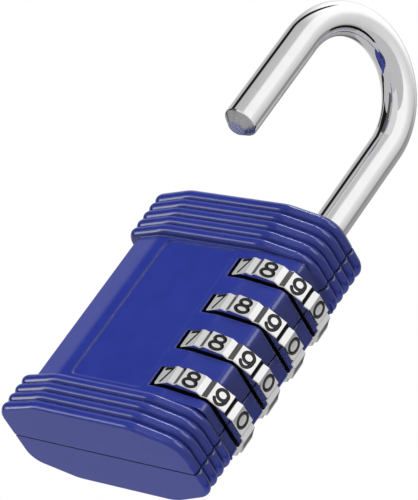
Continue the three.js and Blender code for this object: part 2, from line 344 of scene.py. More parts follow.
# %% [markdown]
# ### Black enamel
# The figures are filled with a glossy black enamel that stays a little sunk in its groove. Matt paint would
# look the same from far off, but the gloss gives each figure its thin bright edge.

# %% Enamel
enamel, tree, shader = principled("figure_enamel", IOR=1.52)
where = place_in_millimetres(tree)
black, soot = (0.004, 0.004, 0.004), (0.010, 0.010, 0.010)
tree.links.new(two_tones(tree, noise(tree, where, 2.0), black, soot), shader.inputs["Base Color"])
tree.links.new(remap(tree, noise(tree, where, 4.0), 0.08, 0.16), shader.inputs["Roughness"])
bump(tree, shader, noise(tree, where, 6.0), 0.05, 0.005)
print(enamel.name, "is made")


# %% [markdown]
# ### Turned brass, machined steel and spring wire
# Apart from the turned tip of the shackle, these are seen only when the lock is taken apart. Turned parts
# carry fine rings, so their noise changes fast along the axis and slowly around it; drawn wire is darker and
# smoother.

# %% Inner metals
def machined(name, first, second, stretch, smooth, rough, height_mm):
    material, tree, shader = principled(name, Metallic=1.0)
    rings = noise(tree, place_in_millimetres(tree, stretch), 4.0, 4.0)
    tree.links.new(two_tones(tree, rings, first, second), shader.inputs["Base Color"])
    tree.links.new(remap(tree, rings, smooth, rough), shader.inputs["Roughness"])
    bump(tree, shader, rings, 0.3, height_mm)
    return material


brass = machined("turned_brass", (0.52, 0.36, 0.13), (0.66, 0.48, 0.20), (0.1, 0.1, 3), 0.2, 0.38, 0.01)
steel = machined("machined_steel", (0.36, 0.37, 0.39), (0.50, 0.51, 0.53), (0.2, 0.2, 2), 0.22, 0.4, 0.008)
turned_tip = machined("turned_tip", (0.52, 0.52, 0.53), (0.66, 0.66, 0.67), (1, 1, 0.3), 0.22, 0.36, 0.003)
wire = machined("spring_wire", (0.22, 0.23, 0.25), (0.34, 0.35, 0.37), (0.6, 0.6, 0.6), 0.2, 0.34, 0.004)
print("inner metals:", ", ".join(metal.name for metal in (brass, steel, turned_tip, wire)))


# %% [markdown]
# ## The two body shells
# The body is cast in a front and a back half that meet along its middle. Seen from above each half is half
# of a long octagon. Ribs run round the top and the bottom, and between them the wall is plain and stands
# further in, most of all at the end away from the dials. One outline for the ribs and one for the wall,
# both with the same number of points, are stacked up the height: a rib is that outline moved out and back
# in again.

# %% Outlines of the shells
ROUNDING_STEPS = 12

# half-widths, half-depth, cut corners [along x, along y] and corner radii, from the left end round the front
RIB_OUTLINE = {
    "left": 20.0, "right": 19.88, "depth": 8.55,
    "left_cut": (9.25, 2.5), "right_cut": (9.0, 2.5), "radii": (0.2, 3.0, 8.0, 9.0, 3.8, 0.12),
}
WALL_OUTLINE = {
    "left": 17.9, "right": 19.53, "depth": 7.75,
    "left_cut": (6.8, 1.8), "right_cut": (8.25, 1.5), "radii": (0.2, 1.2, 14.0, 6.0, 1.3, 0.12),
}
BACK_RIB_OUTLINE = {**RIB_OUTLINE, "right_cut": (9.0, 3.6)}
BACK_WALL_OUTLINE = {**WALL_OUTLINE, "right_cut": (8.25, 2.6)}
SMALLEST_R = 0.03
SEAM_HALF = 0.12  # half the gap between the shells


def shell_corners(shape, seam):
    left, right, depth = shape["left"], shape["right"], shape["depth"]
    (lx, ly), (rx, ry) = shape["left_cut"], shape["right_cut"]
    return [
        Vector((-left, seam)), Vector((-left, ly - depth)), Vector((lx - left, -depth)),
        Vector((right - rx, -depth)), Vector((right, ry - depth)), Vector((right, seam)),
    ]


def moved_out(corners, distance):
    """The outline with every side moved outwards, apart from the flat one along the seam."""
    moved = []
    count = len(corners)
    sides = []
    for i, a in enumerate(corners):
        b = corners[(i + 1) % count]
        along = (b - a).normalized()
        outwards = Vector((along.y, -along.x))
        step = 0.0 if i == count - 1 else distance
        sides.append((a + outwards * step, along))
    for i in range(count):
        (p, d), (q, e) = sides[i - 1], sides[i]
        cross = d.x * e.y - d.y * e.x
        reach = ((q - p).x * e.y - (q - p).y * e.x) / cross
        moved.append(p + d * reach)
    return moved


def rounded(corners, radii, steps=ROUNDING_STEPS):
    """Every corner becomes an arc with the same number of points whatever its radius; 0 leaves one point."""
    points = []
    count = len(corners)
    for i, (corner, radius) in enumerate(zip(corners, radii)):
        if radius == 0:
            points.append(corner)
            continue
        back = (corners[i - 1] - corner).normalized()
        on = (corners[(i + 1) % count] - corner).normalized()
        half = back.angle(on) / 2
        centre = corner + (back + on).normalized() * (radius / math.sin(half))
        first = corner + back * (radius / math.tan(half)) - centre
        last = corner + on * (radius / math.tan(half)) - centre
        sweep = first.angle_signed(last)
        for k in range(steps + 1):
            points.append(centre + Matrix.Rotation(-sweep * k / steps, 2) @ first)
    return points


def shell_level(shape, z, out=0.0, back=False):
    """One level outline of the front shell, or of the back one, its mirror image cut more at the end."""
    if back:
        shape = BACK_RIB_OUTLINE if shape is RIB_OUTLINE else BACK_WALL_OUTLINE
    seam = PARTING - SEAM_HALF
    radii = [max(r + out, SMALLEST_R) for r in shape["radii"]]
    points = rounded(moved_out(shell_corners(shape, seam), out), radii)
    if back:
        seam_shift = 2 * PARTING
        points = [Vector((p.x, seam_shift - p.y)) for p in reversed(points)]
    return [(p.x, p.y, z) for p in points]


print("each level outline has", len(shell_level(RIB_OUTLINE, 0)), "points")


# %% [markdown]
# ### Ribs and wall
# A rib's section is a sine wave raised to a power below one, so its crest is soft and round and the groove
# beside it is narrow, deep and dark. A plain sine would be as wide in the groove as on the crest.

# %% Ribs and wall
RIB_PITCH = 1.98
RIB_STAND = 0.58
GROOVE_DEPTH = 0.18  # how far a groove goes in behind the outline of the end faces
RIB_POWER = 0.72
RIB_STEPS = 18
BOTTOM_RIBS = 4
TOP_RIBS = 5
LEDGE_FILLET = 0.28
FILLET_STEPS = 4
WALL_LOW = BOTTOM_RIBS * RIB_PITCH
WALL_HIGH = BODY_TOP - TOP_RIBS * RIB_PITCH


def rib_levels(first_z, count, back, face_below, face_above):
    """Levels of a row of ribs; where the row ends in a flat face, its last groove isn't sunk."""
    levels = []
    for rib in range(count):
        for k in range(RIB_STEPS + 1 if rib == count - 1 else RIB_STEPS):
            rise = (1 - math.cos(math.pi * k / RIB_STEPS)) / 2
            wave = max(0.0, math.sin(math.pi * rise)) ** RIB_POWER
            at_bottom_face = face_below and rib == 0 and rise < 0.5
            at_top_face = face_above and rib == count - 1 and rise > 0.5
            sunk = 0.0 if at_bottom_face or at_top_face else GROOVE_DEPTH
            out = wave * (RIB_STAND + sunk) - sunk
            levels.append(shell_level(RIB_OUTLINE, first_z + RIB_PITCH * (rib + rise), out, back))
    return levels


def wall_levels(low, high, back):
    """The plain wall, with a small fillet where it meets the ledge under or above the ribs."""
    levels = []
    for end, inwards in ((low, 1), (high, -1)):
        fillet = []
        for k in range(FILLET_STEPS + 1):
            turn = math.pi / 2 * k / FILLET_STEPS
            out = LEDGE_FILLET * (1 - math.sin(turn))
            z = end + inwards * LEDGE_FILLET * (1 - math.cos(turn))
            fillet.append(shell_level(WALL_OUTLINE, z, out, back))
        levels.extend(fillet if inwards > 0 else reversed(fillet))
    return levels


def shell_blank(name, back):
    levels = rib_levels(0, BOTTOM_RIBS, back, True, False)
    levels += wall_levels(WALL_LOW, WALL_HIGH, back)
    levels += rib_levels(WALL_HIGH, TOP_RIBS, back, False, True)
    return stack(name, levels, [coat])


print("plain wall from", round(WALL_LOW, 2), "to", round(WALL_HIGH, 2), "mm")


# %% [markdown]
# ### What is cut out of the shells
# Slots for the dials, the bore that takes the sleeves, the hole for each leg of the shackle and the hollow
# for the detent spring are cut next. The front and the back of a die-cast shell also carry a shallow panel,
# where a maker would put a label. The openings could be drawn into the outlines, but cutting keeps each of
# them one plain shape: a disc, a stepped round bar or a block.

# %% Cutters for the shells
POCKET_R = 9.4
GAP_ABOVE_DIAL = 0.15
GAP_BELOW_DIAL = 0.35
PANEL_RECESS = 0.22
PANEL_LOW, PANEL_HIGH = (-9.1, 9.0), (6.4, 39.2)  # (x, z) of two corners
PANEL_CORNER = 0.9
BOW_WIDTH = 25.6  # between the middles of the shackle's two legs
FREE_LEG_HOLE_X = AXIS_X - BOW_WIDTH
LEG_HOLE_R, SOCKET_R, SOCKET_FLOOR = 3.2, 3.25, 41.9
HOLE_CHAMFER = 0.3
WELL_R, WELL_FLOOR = 5.3, 1.7
GUIDE_POCKET_R = 6.2
HOLLOW = (-15.2, -5.6, 8.5), (1.8, 5.6, 38.5)  # two corners of the room behind the panels
FINGER_OPENING = (1.7, -5.6, 8.5), (4.4, 1.0, 38.5)  # from that room to the dials


def panel_cutter(back):
    (x0, z0), (x1, z1) = PANEL_LOW, PANEL_HIGH
    corners = [Vector(c) for c in ((x0, z0), (x1, z0), (x1, z1), (x0, z1))]
    outline = rounded(corners, [PANEL_CORNER] * 4, 8)
    depth = WALL_OUTLINE["depth"]
    floor, outside = depth - PANEL_RECESS, depth + 2
    if back:
        ends = (2 * PARTING + outside, 2 * PARTING + floor)
    else:
        ends = (-floor, -outside)
    return stack("panel_cutter", [[(p.x, y, p.y) for p in outline] for y in ends], [coat])


def pocket_cutters():
    cutters = []
    for floor in dial_floors:
        ends = (floor - GAP_BELOW_DIAL, floor + DIAL_THICKNESS + GAP_ABOVE_DIAL)
        # the slot faces get the near-black painted shade material from this cutter
        cutters.append(turned("pocket", [(POCKET_R, z) for z in ends], 160, AXIS_X, 0, [painted_shade_inside]))
    return joined("pockets", cutters)


def hole_from_above(name, r, floor, x):
    """A drilled hole with a chamfer in the body's top face."""
    rim_low, rim_high = BODY_TOP - HOLE_CHAMFER, BODY_TOP + HOLE_CHAMFER
    profile = [(r, floor), (r, rim_low), (r + 2 * HOLE_CHAMFER, rim_high)]
    return turned(name, profile, 96, x, 0, [painted_shade_inside])


def bore_cutters():
    """Everything on the dials' axis, the free leg's socket and the hollow with its opening to the dials."""
    well = [(WELL_R, WELL_FLOOR), (WELL_R, guide_low.z + 0.3)]
    guide_pocket = [(GUIDE_POCKET_R, guide_low.z - 0.15), (GUIDE_POCKET_R, guide_high.z + 0.2)]
    # these cut faces get the near-black painted shade material too
    return [
        turned("well", well, 96, AXIS_X, 0, [painted_shade_inside]),
        turned("guide_pocket", guide_pocket, 96, AXIS_X, 0, [painted_shade_inside]),
        hole_from_above("leg_hole", LEG_HOLE_R, guide_high.z - 0.5, AXIS_X),
        hole_from_above("socket", SOCKET_R, SOCKET_FLOOR, FREE_LEG_HOLE_X),
        block("hollow", *HOLLOW, [painted_shade_inside]),
        block("finger_opening", *FINGER_OPENING, [painted_shade_inside]),
    ]


print("slots of radius", POCKET_R, "mm; free leg's hole at x =", round(FREE_LEG_HOLE_X, 2), "mm")


# %% [markdown]
# ### Both shells
# A slot edge is broken after casting, by up to about a quarter of a millimetre. Edges could be picked one by
# one, but they are found by what they are: sharp edges on the wall that touch at least one coated face.

# %% Build the shells
EDGE_ROUND = 0.28
WALL_MARGIN = 0.6  # edges nearer than this to the ribs are left as they are
SHARP = math.radians(35)
# within this distance of the dials' axis the slots keep the near-black painted shade
SHADE_REACH_R = 7.5  # how near to the dials' axis the coat reaches in the slots
# index of the painted shade material that the cutters bring
PAINTED_SHADE_INDEX = 1  # the second material of a shell, which its cutters bring


def round_cut_edges(piece, width, steps=2):
    mesh = bmesh.new()
    mesh.from_mesh(piece.data)
    bmesh.ops.remove_doubles(mesh, verts=mesh.verts, dist=2e-6)
    bmesh.ops.dissolve_degenerate(mesh, edges=mesh.edges, dist=2e-6)
    mesh.normal_update()
    lowest, highest = (WALL_LOW + WALL_MARGIN) * MM, (WALL_HIGH - WALL_MARGIN) * MM
    chosen = []
    for edge in mesh.edges:
        if len(edge.link_faces) != 2 or edge.calc_length() < 1e-6:
            continue
        z_values = [v.co.z for v in edge.verts]
        if min(z_values) < lowest or max(z_values) > highest:
            continue
        first, second = edge.link_faces
        if first.material_index and second.material_index:
            continue
        if first.normal.angle(second.normal, 0) > SHARP:
            chosen.append(edge)
    bmesh.ops.bevel(
        mesh, geom=chosen, offset=width * MM, segments=steps, profile=0.5, affect="EDGES", clamp_overlap=True,
    )
    mesh.to_mesh(piece.data)
    mesh.free()
    return len(chosen)


def make_shell(name, back):
    shell = shell_blank(f"{name}_skin", back)
    cut(shell, panel_cutter(back))
    cut(shell, pocket_cutters())
    for cutter in bore_cutters():
        cut(shell, cutter)
    rounded_edges = round_cut_edges(shell, EDGE_ROUND)
    # the seam faces and the slot faces near the dials' axis keep the near-black painted shade; the rest of
    # the cut faces get the coat
    for face in shell.data.polygons:
        x, y = face.center.x / MM, face.center.y / MM
        if abs(y - PARTING) < 2 * SEAM_HALF and abs(face.normal.y) > 0.9:
            face.material_index = PAINTED_SHADE_INDEX
        elif face.material_index == PAINTED_SHADE_INDEX and math.hypot(x - AXIS_X, y) > SHADE_REACH_R:
            face.material_index = 0
    finish_shading(shell)
    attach(shell, "case")
    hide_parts(name)
    print(name, len(shell.data.polygons), "faces,", rounded_edges, "edges rounded")
    return shell


front_skin = make_shell("front_shell", back=False)
back_skin = make_shell("back_shell", back=True)

# %% [markdown]
# ## The number dials
# Each dial is a ring with ten flats and a shallow V between them, which gives the fingertip its grip. The
# figures are engraved with a round cutter and filled with enamel. A font could be used for them, but a real
# engraver follows a line, and so does this: each figure is a few strokes, and each stroke is a path that a
# small ball cutter runs along.

# %% Figures as strokes
def arc(cx, cy, rx, ry, start, end, steps=28):
    """Part of an ellipse; angles in degrees, counted from the right towards the top."""
    turns = [math.radians(start + (end - start) * k / steps) for k in range(steps + 1)]
    return [(cx + rx * math.cos(t), cy + ry * math.sin(t)) for t in turns]


def figure_strokes(figure):
    """Strokes of a figure in a box one high, centred on (0, 0); a closed one ends where it starts."""
    strokes = {
        0: [arc(0, 0, 0.38, 0.5, 0, 360, 48)],
        1: [[(-0.16, 0.32), (0.06, 0.5)], [(0.06, 0.5), (0.06, -0.5)]],
        2: [arc(0, 0.2, 0.35, 0.3, 165, -35) + [(-0.36, -0.5)], [(-0.36, -0.5), (0.38, -0.5)]],
        3: [arc(-0.02, 0.25, 0.32, 0.25, 150, -80), arc(-0.02, -0.24, 0.38, 0.26, 80, -150)],
        4: [[(0.38, -0.2), (-0.38, -0.2)], [(-0.38, -0.2), (0.16, 0.5)], [(0.16, 0.5), (0.16, -0.5)]],
        5: [[(0.32, 0.5), (-0.28, 0.5)], [(-0.28, 0.5), (-0.32, 0.06)], arc(0, -0.17, 0.37, 0.33, 138, -145)],
        6: [arc(-0.02, -0.17, 0.37, 0.33, 0, 360, 40), arc(0.01, 0, 0.40, 0.5, 200, 30, 28)],
        7: [[(-0.42, 0.5), (0.40, 0.5)], [(0.40, 0.5), (-0.14, -0.5)]],
        8: [arc(0, 0.26, 0.34, 0.24, 0, 360, 36), arc(0, -0.24, 0.42, 0.26, 0, 360, 40)],
        9: [arc(0.02, 0.17, 0.37, 0.33, 0, 360, 40), arc(-0.01, 0, 0.40, 0.5, 20, -145, 28)],
    }
    return strokes[figure]


print("strokes in each figure:", [len(figure_strokes(figure)) for figure in range(10)])


# %% [markdown]
# ### Paths of the cutter
# The cutter's path becomes a round tube with rounded ends, laid half into the flat. A closed stroke becomes
# a ring. A curve object with a bevel would make such tubes too, but its ends would be cut off flat.

# %% Tubes along strokes
CAP_TURNS = [math.radians(turn) for turn in (20, 42, 65)]  # rings of a rounded end, from its tip


def tube(points, radius, up, sides=12):
    """Vertices and faces of a round tube along points; up is square to every part of the path."""
    closed = (points[0] - points[-1]).length < 1e-6
    if closed:
        points = points[:-1]
    count = len(points)
    rings = []
    for i, point in enumerate(points):
        before = points[i - 1] if closed or i else point
        after = points[(i + 1) % count] if closed or i < count - 1 else point
        rings.append((point, (after - before).normalized(), radius))
    if not closed:
        start, start_along, _ = rings[0]
        end, end_along, _ = rings[-1]
        first, last = [], []
        for turn in CAP_TURNS:
            ahead, r = radius * math.cos(turn), radius * math.sin(turn)
            first.append((start - start_along * ahead, start_along, r))
            last.append((end + end_along * ahead, end_along, r))
        rings = first + rings + last[::-1]
    vertices, faces = [], []
    for centre, along, r in rings:
        side = along.cross(up).normalized()
        for k in range(sides):
            turn = 2 * math.pi * k / sides
            vertices.append(centre + r * (side * math.cos(turn) + up * math.sin(turn)))
    total = len(rings)
    for i in range(total if closed else total - 1):
        for k in range(sides):
            a, b = i * sides + k, i * sides + (k + 1) % sides
            c, d = ((i + 1) % total) * sides + (k + 1) % sides, ((i + 1) % total) * sides + k
            faces.append([a, d, c, b])
    if not closed:
        faces.append(list(range(sides)))
        faces.append([(total - 1) * sides + k for k in range(sides)][::-1])
    return vertices, faces


print("a rounded end has", len(CAP_TURNS), "rings")


# %% [markdown]
# ### The plain ring
# The ring itself is one outline with ten flats and ten grooves, stacked with a small chamfer at the top and
# the bottom. The bore and the one notch that the sleeve's lug stands in are cut out. A round ring with ten
# cuts would give the same shape, but an outline also holds the flats' faint dish, which polishing leaves.

# %% Dial blank
FLATS = 10
FLAT_R = 8.9
FLAT_HALF_ANGLE = math.radians(11.6)
GROOVE_R = 8.6
GROOVE_ROUND = 0.06
DISH_DEPTH = 0.04
DISH_STEPS = 4
RIDGE_ROUND = 0.1
DIAL_CHAMFER = 0.13
DIAL_BORE_R = 5.5
NOTCH_R, NOTCH_WIDTH, NOTCH_HEIGHT = 6.35, 1.3, 1.9
FIRST_DIAL_Z = dial_floors[0]


def polar(r, angle):
    return Vector((r * math.cos(angle), r * math.sin(angle)))


def dial_outline(inset):
    """Ten dished flats, each with rounded edges, and a groove after each."""
    corners, radii = [], []
    half_width = FLAT_R * math.tan(FLAT_HALF_ANGLE)
    for k in range(FLATS):
        middle = 2 * math.pi * k / FLATS
        out, along = polar(1, middle), polar(1, middle + math.pi / 2)
        for step in range(-DISH_STEPS, DISH_STEPS + 1):
            share = step / DISH_STEPS
            sag = DISH_DEPTH * (1 - share * share)
            corners.append(out * (FLAT_R - inset - sag) + along * half_width * share)
            radii.append(RIDGE_ROUND if abs(step) == DISH_STEPS else 0)
        corners.append(polar(GROOVE_R - inset, middle + math.pi / FLATS))
        radii.append(GROOVE_ROUND)
    return rounded(corners, radii, 3)


def dial_level(z, inset=0.0):
    return [(AXIS_X + p.x, p.y, z) for p in dial_outline(inset)]


def dial_blank():
    low, high = FIRST_DIAL_Z, FIRST_DIAL_Z + DIAL_THICKNESS
    levels = [
        dial_level(low, DIAL_CHAMFER),
        dial_level(low + DIAL_CHAMFER),
        dial_level(high - DIAL_CHAMFER),
        dial_level(high, DIAL_CHAMFER),
    ]
    blank = stack("dial_blank", levels, [dial_chrome])
    bore = turned("bore", [(DIAL_BORE_R, low - 1), (DIAL_BORE_R, high + 1)], 96, AXIS_X, 0, [dial_chrome])
    cut(blank, bore)
    half = NOTCH_WIDTH / 2
    notch_low, notch_high = (AXIS_X - NOTCH_R, -half, high - NOTCH_HEIGHT), (AXIS_X, half, high + 1)
    cut(blank, block("notch", notch_low, notch_high, [dial_chrome]))
    return blank


print("a dial's outline has", len(dial_outline(0)), "points")


# %% [markdown]
# ### Engraving
# Figure 0 stands on the flat that faces the end of the body, and the others follow round the ring. The
# cutter's middle runs just above the flat, so the groove is shallow and has crisp edges. Each dial could be
# cut on its own, but one is engraved with all ten figures and copied.

# %% Engrave and place the dials
FIGURE_HEIGHT = 2.64
CUTTER_R = 0.36
CUTTER_LIFT = 0.15


def figure_cutters():
    middle_z = FIRST_DIAL_Z + DIAL_THICKNESS / 2
    cutters = []
    for figure in range(FLATS):
        angle = 2 * math.pi * figure / FLATS
        out = Vector((math.cos(angle), math.sin(angle), 0))
        right = Vector((-math.sin(angle), math.cos(angle), 0))
        start = Vector((AXIS_X, 0, middle_z)) + out * (FLAT_R + CUTTER_LIFT)
        for stroke in figure_strokes(figure):
            path = [start + FIGURE_HEIGHT * (right * u + Vector((0, 0, v))) for u, v in stroke]
            vertices, faces = tube(path, CUTTER_R, out)
            cutters.append(new_piece("cutter", vertices, faces, [enamel]))
    return joined("figure_cutters", cutters)


master_dial = dial_blank()
cut(master_dial, figure_cutters(), overlapping=True)
finish_shading(master_dial, 25)
for i in range(DIALS):
    dial = bpy.data.objects.new(f"dial_ring_{i + 1}", master_dial.data.copy())
    bpy.context.collection.objects.link(dial)
    dial.data.transform(Matrix.Translation((0, 0, (dial_floors[i] - FIRST_DIAL_Z) * MM)))
    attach(dial, f"ring_{i + 1}")
    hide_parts(f"dial_{i + 1}")
print("each dial has", len(master_dial.data.polygons), "faces")
bpy.data.objects.remove(master_dial)

# %% [markdown]
# ## The shackle
# The shackle is bent from round rod, turned down to a thin core inside the body and chromed. Its free end
# has a cone with a small flat on it, so that it finds its hole. A curve with a round section would do for
# the bow alone, but rings square to the rod's middle line also take the thin core, the shoulder and the
# tip.

# %% Shackle sizes
ROD_SIDES = 72
BOW_STEPS = 96
ROD_R = 3.0
CORE_R = 2.0
CORE_CHAMFER = 0.3
SHOULDER_Z = 41.0
TIP_Z = 50.6
TIP_CONE = 1.3
TIP_FLAT_R = 1.55
RIM_R = 0.6
RIM_STEPS = 8
SWING = math.radians(257.8)  # direction of the free leg from the long one, counted from +X
UP = Vector((0, 0, 1))

shackle_low, shackle_high = node_box("shackle")


def tip_rings(foot, away):
    """From the side of the rod round the rim, down the cone to the small flat."""
    total = math.atan2(ROD_R - TIP_FLAT_R, TIP_CONE)
    rim_top = TIP_Z + TIP_CONE + RIM_R * math.tan(total / 2)
    rings = []
    for k in range(RIM_STEPS + 1):
        turn = total * k / RIM_STEPS
        height = rim_top - RIM_R * math.sin(turn)
        rings.append((foot + UP * height, away, ROD_R - RIM_R * (1 - math.cos(turn))))
    rings.append((foot + UP * TIP_Z, away, TIP_FLAT_R))
    return rings


def shackle_rings():
    across = Vector((math.cos(SWING), math.sin(SWING), 0))
    bow_r = BOW_WIDTH / 2
    bow_z = shackle_high.z - bow_r - ROD_R
    leg = Vector((AXIS_X, 0, 0))
    lengthwise = [
        (shackle_low.z, CORE_R - CORE_CHAMFER),
        (shackle_low.z + CORE_CHAMFER, CORE_R),
        (SHOULDER_Z, CORE_R),
        (SHOULDER_Z + 0.01, ROD_R - CORE_CHAMFER),
        (SHOULDER_Z + CORE_CHAMFER, ROD_R),
    ]
    rings = [(leg + UP * z, -across, r) for z, r in lengthwise]
    for k in range(BOW_STEPS + 1):
        turn = math.pi * k / BOW_STEPS
        away = UP * math.sin(turn) - across * math.cos(turn)
        rings.append((leg + across * bow_r + UP * bow_z + away * bow_r, away, ROD_R))
    return rings + tip_rings(leg + across * BOW_WIDTH, across), across.cross(UP)


print("shackle reaches from", round(shackle_low.z, 2), "to", round(shackle_high.z, 2), "mm")


# %% [markdown]
# ### Sweep and finish
# The rod is polished before it is chromed, but the tip is left as it was turned, so its faces get a duller
# metal of their own. They are picked by place: they look down and lie within the height of the cone.

# %% Sweep the shackle
TURNED = 1  # the second material of the shackle


def make_shackle():
    rings, square = shackle_rings()
    levels = []
    for centre, away, r in rings:
        turns = [2 * math.pi * k / ROD_SIDES for k in range(ROD_SIDES)]
        levels.append([centre + r * (away * math.cos(t) + square * math.sin(t)) for t in turns])
    shackle = stack("shackle_rod", levels, [rod_chrome, turned_tip])
    for face in shackle.data.polygons:
        if face.normal.z < -0.3 and TIP_Z - 0.1 < face.center.z / MM < TIP_Z + 0.97 * TIP_CONE:
            face.material_index = TURNED
    finish_shading(shackle, 35)
    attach(shackle, "bow")
    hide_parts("shackle")
    box = [round(v / MM, 1) for v in shackle.dimensions]
    print("shackle has", len(shackle.data.polygons), "faces; box, mm:", box)


make_shackle()

# %% [markdown]
# ## The hidden parts
# The sleeves, tube, springs and pins keep the shapes of the mechanical model, which are right already. They
# could be drawn again more finely, but nobody sees them in a whole lock, so they only get their finishes.

# %% Finishes of the hidden parts
INNER_FINISHES = {
    "sleeve_spring": wire,
    "detent_spring": wire,
    "guide_plate": steel,
    "locking_tube": steel,
    "leg_ring": steel,
    "sleeve_": brass,
    "assembly_pin_": steel,
}


def finish_for(node):
    for start in sorted(INNER_FINISHES, key=len, reverse=True):
        if node.startswith(start):
            return INNER_FINISHES[start]
    return None


for node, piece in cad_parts.items():
    material = finish_for(node)
    if material:
        for place in piece.material_slots:
            place.material = material
        print(node, "gets", material.name)

# %% [markdown]
# ## The studio
# Chrome shows nothing but its surroundings, so the surroundings are half of its look. The lock hangs in a
# white tent: bright panels in front and to the right, a greyer side at the back, and one narrow black board
# at the left that draws a dark line down every polished curve. The tent could be built from cards, but as
# it is far larger than the lock, its brightness by direction is all that matters, and the world's shader
# holds it.

# %% Tent sizes
# (degrees round from +X towards +Y, brightness as a screen value from 0 to 255)
TENT_WALL = (
    (-180, 190), (-166, 182), (-130, 186), (-100, 190), (-72, 196), (-60, 248), (-12, 250), (2, 228),
    (30, 205), (42, 198), (52, 130), (65, 150), (106, 165), (120, 100), (128, 110), (138, 205), (150, 215),
    (180, 190),
)
CEILING, CEILING_FROM, CEILING_BLUR = 262, 50, 15  # brightness, degrees above level and softness
GROUND, GROUND_FROM, GROUND_BLUR = 178, -48, 12
BOARD = 24  # brightness of the black board
BOARD_MIDDLE, BOARD_LEAN = -145, 38  # where it stands, and how far its top leans towards the front
BOARD_HALF, BOARD_FOOT = 13, 24  # half its width in the middle and at the foot
BOARD_LOW, BOARD_HIGH = -13, 76
BOARD_SIDE_BLUR, BOARD_END_BLUR = 4, 6
LEAN_FROM, LEAN_TO = 25, 75  # heights between which the board leans
FOOT_FROM, FOOT_TO = 24, 12  # heights between which it widens downwards


def screen_to_light(value):
    return ((value / 255 + 0.055) / 1.055) ** 2.4


def direction_of(azimuth, elevation):
    a, e = math.radians(azimuth), math.radians(elevation)
    return Vector((math.cos(e) * math.cos(a), math.cos(e) * math.sin(a), math.sin(e)))


print("black board", 2 * BOARD_HALF, "degrees wide, from", BOARD_LOW, "to", BOARD_HIGH, "degrees high")


# %% [markdown]
# The edges of a lit panel are never sharp in a polished surface, so every change of brightness is a smooth
# step. A painted picture of the tent would do the same, but these few numbers are easier to move about.

# %% Tent shader helpers
def soft_step(tree, source, start, end):
    node = tree.nodes.new("ShaderNodeMapRange")
    node.interpolation_type = "SMOOTHSTEP"
    node.inputs["From Min"].default_value = start
    node.inputs["From Max"].default_value = end
    tree.links.new(source, node.inputs["Value"])
    return node.outputs["Result"]


def mixed(tree, share, first, second):
    """Between two numbers; share 0 gives the first."""
    difference = calculate(tree, "SUBTRACT", second, first)
    return calculate(tree, "MULTIPLY_ADD", difference, share, first)


print("helpers for soft steps and mixing are ready")


# %% [markdown]
# ### The tent itself
# The wall's brightness goes round in stops, the ceiling and the ground are laid over it, and the board over
# all. The camera sees plain white paper instead, as behind any product on a white page.

# %% Tent
def tent_brightness(tree):
    nodes, links = tree.nodes, tree.links
    direction = nodes.new("ShaderNodeTexCoord").outputs["Generated"]
    parts = nodes.new("ShaderNodeSeparateXYZ")
    links.new(direction, parts.inputs["Vector"])
    radians = calculate(tree, "ARCTAN2", parts.outputs["Y"], parts.outputs["X"])
    azimuth = calculate(tree, "DEGREES", radians)
    elevation = calculate(tree, "DEGREES", calculate(tree, "ARCSINE", parts.outputs["Z"]))
    ramp = nodes.new("ShaderNodeValToRGB")
    stops = ramp.color_ramp.elements
    while len(stops) < len(TENT_WALL):
        stops.new(0.5)
    for stop, (angle, level) in zip(stops, TENT_WALL):
        stop.position = (angle + 180) / 360
        stop.color = (*[screen_to_light(level)] * 3, 1)
    links.new(calculate(tree, "MULTIPLY_ADD", azimuth, 1 / 360, 0.5), ramp.inputs["Fac"])
    wall = calculate(tree, "ADD", ramp.outputs["Color"], 0)
    up = soft_step(tree, elevation, CEILING_FROM - CEILING_BLUR, CEILING_FROM + CEILING_BLUR)
    down = soft_step(tree, elevation, GROUND_FROM + GROUND_BLUR, GROUND_FROM - GROUND_BLUR)
    light = mixed(tree, up, wall, screen_to_light(CEILING))
    light = mixed(tree, down, light, screen_to_light(GROUND))
    return mixed(tree, board_share(tree, azimuth, elevation), light, screen_to_light(BOARD))


def board_share(tree, azimuth, elevation):
    """1 on the black board and 0 beside it."""
    lean = soft_step(tree, elevation, LEAN_FROM, LEAN_TO)
    middle = mixed(tree, lean, BOARD_MIDDLE, BOARD_MIDDLE + BOARD_LEAN)
    off = calculate(tree, "ABSOLUTE", calculate(tree, "SUBTRACT", azimuth, middle))
    spread = soft_step(tree, elevation, FOOT_FROM, FOOT_TO)
    beyond = calculate(tree, "SUBTRACT", off, mixed(tree, spread, BOARD_HALF, BOARD_FOOT))
    between = soft_step(tree, beyond, BOARD_SIDE_BLUR, -BOARD_SIDE_BLUR)
    above = soft_step(tree, elevation, BOARD_LOW - BOARD_END_BLUR, BOARD_LOW + BOARD_END_BLUR)
    below = soft_step(tree, elevation, BOARD_HIGH + BOARD_END_BLUR, BOARD_HIGH - BOARD_END_BLUR)
    return calculate(tree, "MULTIPLY", calculate(tree, "MULTIPLY", between, above), below)


def make_tent():
    world = bpy.data.worlds.new("tent")
    bpy.context.scene.world = world
    world.use_nodes = True
    tree = world.node_tree
    nodes, links = tree.nodes, tree.links
    nodes.clear()
    wall = nodes.new("ShaderNodeBackground")
    links.new(tent_brightness(tree), wall.inputs["Strength"])
    wall.inputs["Color"].default_value = (1, 1, 1, 1)
    backdrop = nodes.new("ShaderNodeBackground")
    backdrop.inputs["Color"].default_value = (1, 1, 1, 1)
    ray = nodes.new("ShaderNodeLightPath")
    choice = nodes.new("ShaderNodeMixShader")
    links.new(ray.outputs["Is Camera Ray"], choice.inputs["Fac"])
    links.new(wall.outputs["Background"], choice.inputs[1])
    links.new(backdrop.outputs["Background"], choice.inputs[2])
    output = nodes.new("ShaderNodeOutputWorld")
    links.new(choice.outputs["Shader"], output.inputs["Surface"])


make_tent()
print("tent of", len(TENT_WALL), "stops and one black board")

